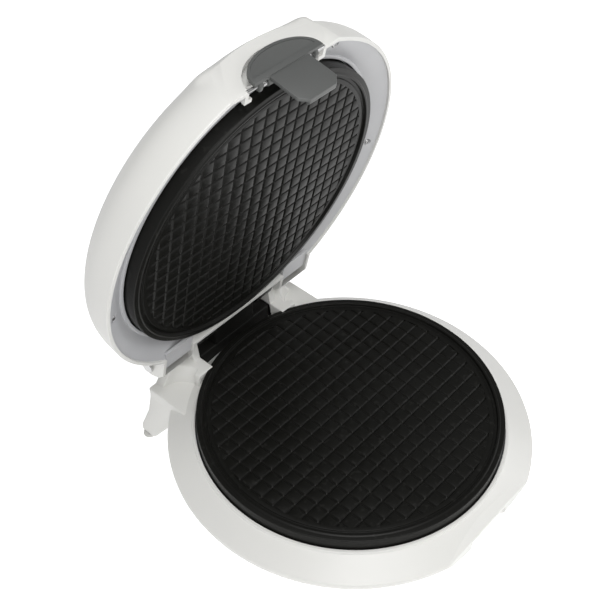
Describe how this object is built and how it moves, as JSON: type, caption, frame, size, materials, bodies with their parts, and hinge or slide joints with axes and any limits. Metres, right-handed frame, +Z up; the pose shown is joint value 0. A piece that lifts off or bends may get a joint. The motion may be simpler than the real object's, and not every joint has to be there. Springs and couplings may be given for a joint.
{
  "type": "waffle maker",
  "caption": "Round hinged waffle and wafer baker: domed lid standing open above a dished base, two coated plates, front latch lever.",
  "frame": {"origin": "centre of the base's underside, on the axis of the round lower plate; the rubber feet stand 3 mm below it", "axes": "+Z up, -Y towards the front with the latch, +X to the right of someone facing the front"},
  "size_m": [0.252, 0.2594, 0.3043],
  "materials": {
    "white_plastic": "smooth semi-gloss moulded heat-resistant plastic",
    "terminal_plastic": "matt moulded ceramic-filled plastic",
    "black_plastic": "fine-textured black heat-resistant plastic",
    "coated_aluminium": "die-cast aluminium with a satin black non-stick coating",
    "grey_plastic": "satin mid-grey moulded plastic",
    "steel": "zinc-plated steel",
    "element_steel": "oxidised steel sheath",
    "sheet_steel": "aluminised sheet",
    "rubber": "matt moulded rubber",
    "red_lens": "clear tinted plastic",
    "green_lens": "clear tinted plastic",
    "lamp_glass": "clear glass envelope"
  },
  "bodies": {
    "base": {"base_shell": "white_plastic", "bottom_cover": "white_plastic", "base_hinge_block": "black_plastic", "cord_gland": "black_plastic", "terminal_block": "terminal_plastic", "hinge_pin": "steel", "hinge_pin_cap_left": "steel", "hinge_pin_cap_right": "steel", "front_foot_left": "rubber", "front_foot_right": "rubber", "rear_foot_left": "rubber", "rear_foot_right": "rubber", "cover_screw_1": "steel", "cover_screw_2": "steel", "cover_screw_3": "steel", "cover_screw_4": "steel", "lower_plate": "coated_aluminium", "lower_heating_element": "element_steel", "lower_heat_shield": "sheet_steel", "lower_thermostat": "sheet_steel", "lower_thermal_fuse": "lamp_glass", "lower_plate_screw_1": "steel", "lower_plate_screw_2": "steel", "lower_plate_screw_3": "steel"},
    "lid": {"lid_shell": "white_plastic", "lid_ring": "white_plastic", "lid_hinge_block": "black_plastic", "latch_pin": "steel", "latch_spring": "steel", "power_lamp_lens": "red_lens", "ready_lamp_lens": "green_lens", "power_neon_lamp": "lamp_glass", "ready_neon_lamp": "lamp_glass", "lid_screw_1": "steel", "lid_screw_2": "steel", "lid_screw_3": "steel", "lid_screw_4": "steel", "upper_plate": "coated_aluminium", "upper_heating_element": "element_steel", "upper_heat_shield": "sheet_steel", "upper_thermostat": "sheet_steel", "upper_plate_screw_1": "steel", "upper_plate_screw_2": "steel", "upper_plate_screw_3": "steel"},
    "latch": {"latch_lever": "grey_plastic"}
  },
  "joints": [
    {"name": "lid_hinge", "type": "hinge", "parent": "base", "child": "lid", "pos_m": [0, 0.1195, 0.0643], "axis": [1, 0, 0], "range_deg": [-22.6, 77.4]},
    {"name": "latch_pivot", "type": "hinge", "parent": "lid", "child": "latch", "pos_m": [0, 0.05541, 0.29282], "axis": [1, 0, 0], "range_deg": [-14, 0], "stiffness_Nm_per_rad": 0.25, "springref_deg": 11.46}
  ]
}
